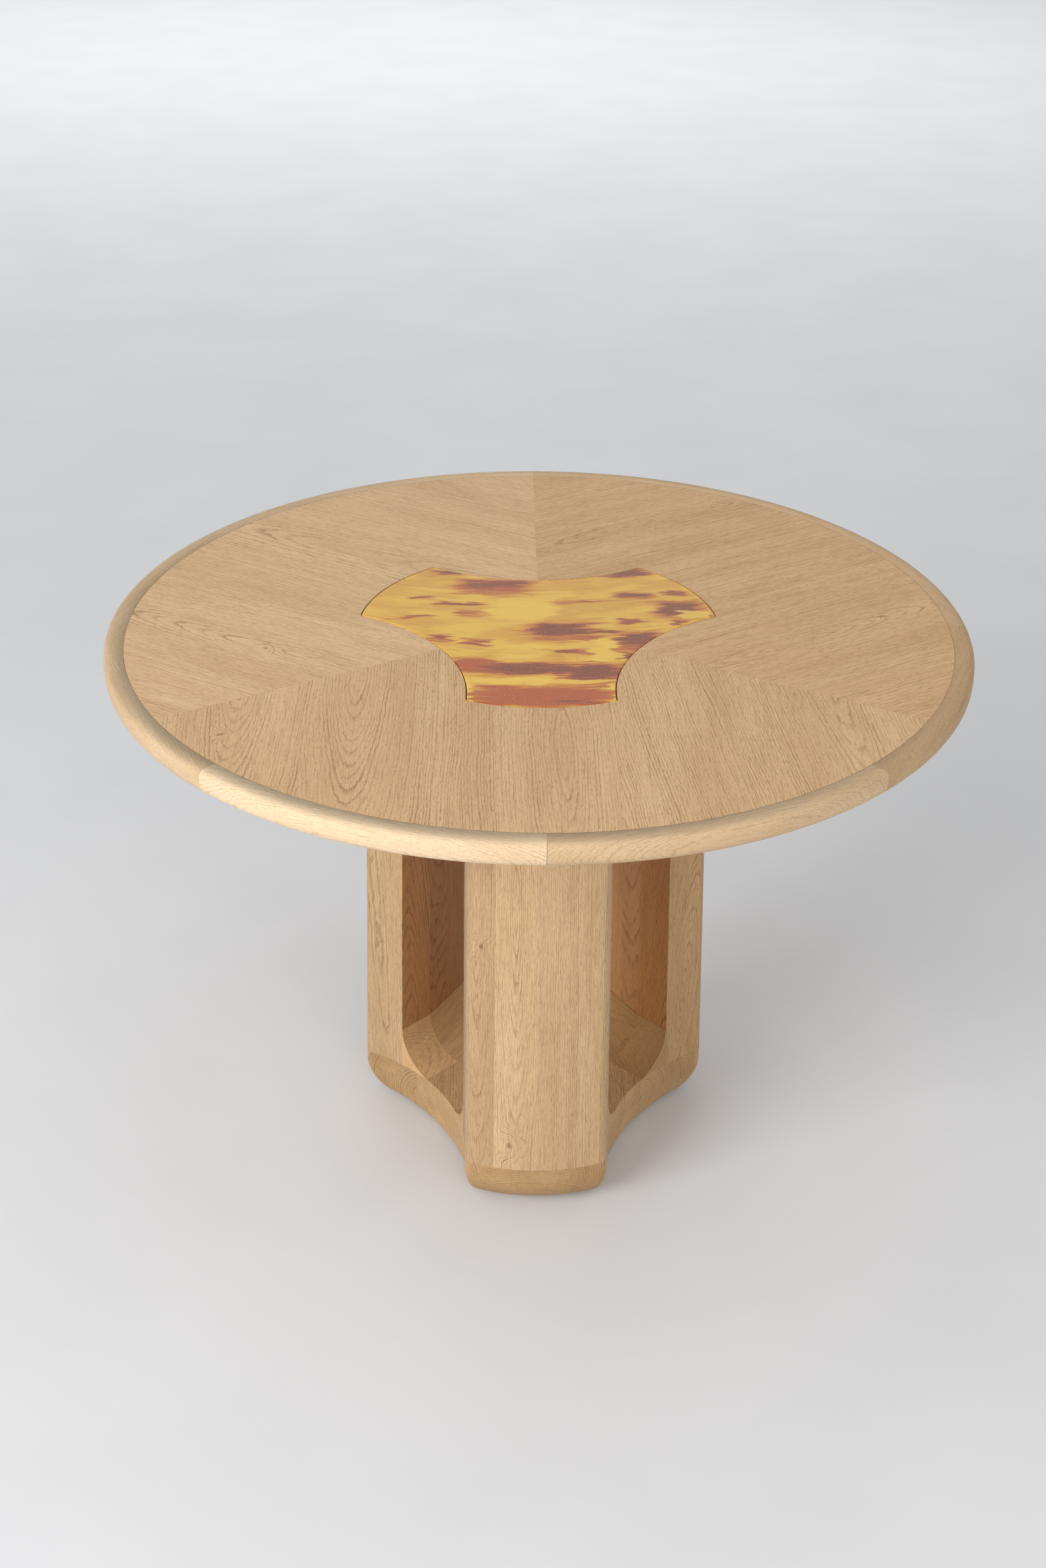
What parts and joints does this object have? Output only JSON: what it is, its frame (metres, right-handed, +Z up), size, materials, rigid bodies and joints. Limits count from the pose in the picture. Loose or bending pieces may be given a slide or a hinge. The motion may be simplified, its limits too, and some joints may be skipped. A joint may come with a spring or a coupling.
{
  "type": "round pedestal table",
  "caption": "Round oak table with a shallow glazed inlay in the top, on a pedestal of staved legs over a lobed base slab.",
  "frame": {"origin": "floor level on the table's vertical axis", "axes": "+Z up; the front leg stands towards -Y, the other two towards 30 and 150 degrees from +X"},
  "size_m": [1.1, 1.1, 0.76],
  "materials": {
    "oak_veneer": "matt oiled",
    "oak_lipping": "matt oiled",
    "oak_stave": "matt oiled",
    "oak_cove": "matt oiled",
    "oak_base": "matt oiled",
    "core_board": "raw board",
    "beech": "raw",
    "glazed_stone": "glossy glaze",
    "adhesive": "matt",
    "zinc_steel": "zinc plated",
    "felt": "felt"
  },
  "bodies": {
    "root": {"top_core": "core_board", "balance_veneer": "oak_veneer", "face_veneer_right": "oak_veneer", "face_veneer_left": "oak_veneer", "face_veneer_front": "oak_veneer", "lipping_1": "oak_lipping", "lipping_2": "oak_lipping", "lipping_3": "oak_lipping", "lipping_4": "oak_lipping", "lipping_5": "oak_lipping", "lipping_6": "oak_lipping", "lipping_7": "oak_lipping", "lipping_8": "oak_lipping", "inlay_panel": "glazed_stone", "inlay_bedding": "adhesive", "leg_front_stave_1": "oak_stave", "leg_front_stave_2": "oak_stave", "leg_front_stave_3": "oak_stave", "leg_front_stave_4": "oak_stave", "leg_front_cove_a": "oak_cove", "leg_front_cove_b": "oak_cove", "leg_front_cove_c": "oak_cove", "pad_front": "felt", "leg_right_stave_1": "oak_stave", "leg_right_stave_2": "oak_stave", "leg_right_stave_3": "oak_stave", "leg_right_stave_4": "oak_stave", "leg_right_cove_a": "oak_cove", "leg_right_cove_b": "oak_cove", "leg_right_cove_c": "oak_cove", "pad_right": "felt", "leg_left_stave_1": "oak_stave", "leg_left_stave_2": "oak_stave", "leg_left_stave_3": "oak_stave", "leg_left_stave_4": "oak_stave", "leg_left_cove_a": "oak_cove", "leg_left_cove_b": "oak_cove", "leg_left_cove_c": "oak_cove", "pad_left": "felt", "head_block": "beech", "head_dowels": "beech", "block_dowels": "beech", "top_bolts": "zinc_steel", "top_washers": "zinc_steel", "top_inserts": "zinc_steel", "base_board_1": "oak_base", "base_board_2": "oak_base", "base_board_3": "oak_base", "base_board_4": "oak_base", "base_board_5": "oak_base", "base_dowels": "beech", "base_bolts": "zinc_steel", "base_washers": "zinc_steel", "base_inserts": "zinc_steel"}
  },
  "joints": []
}
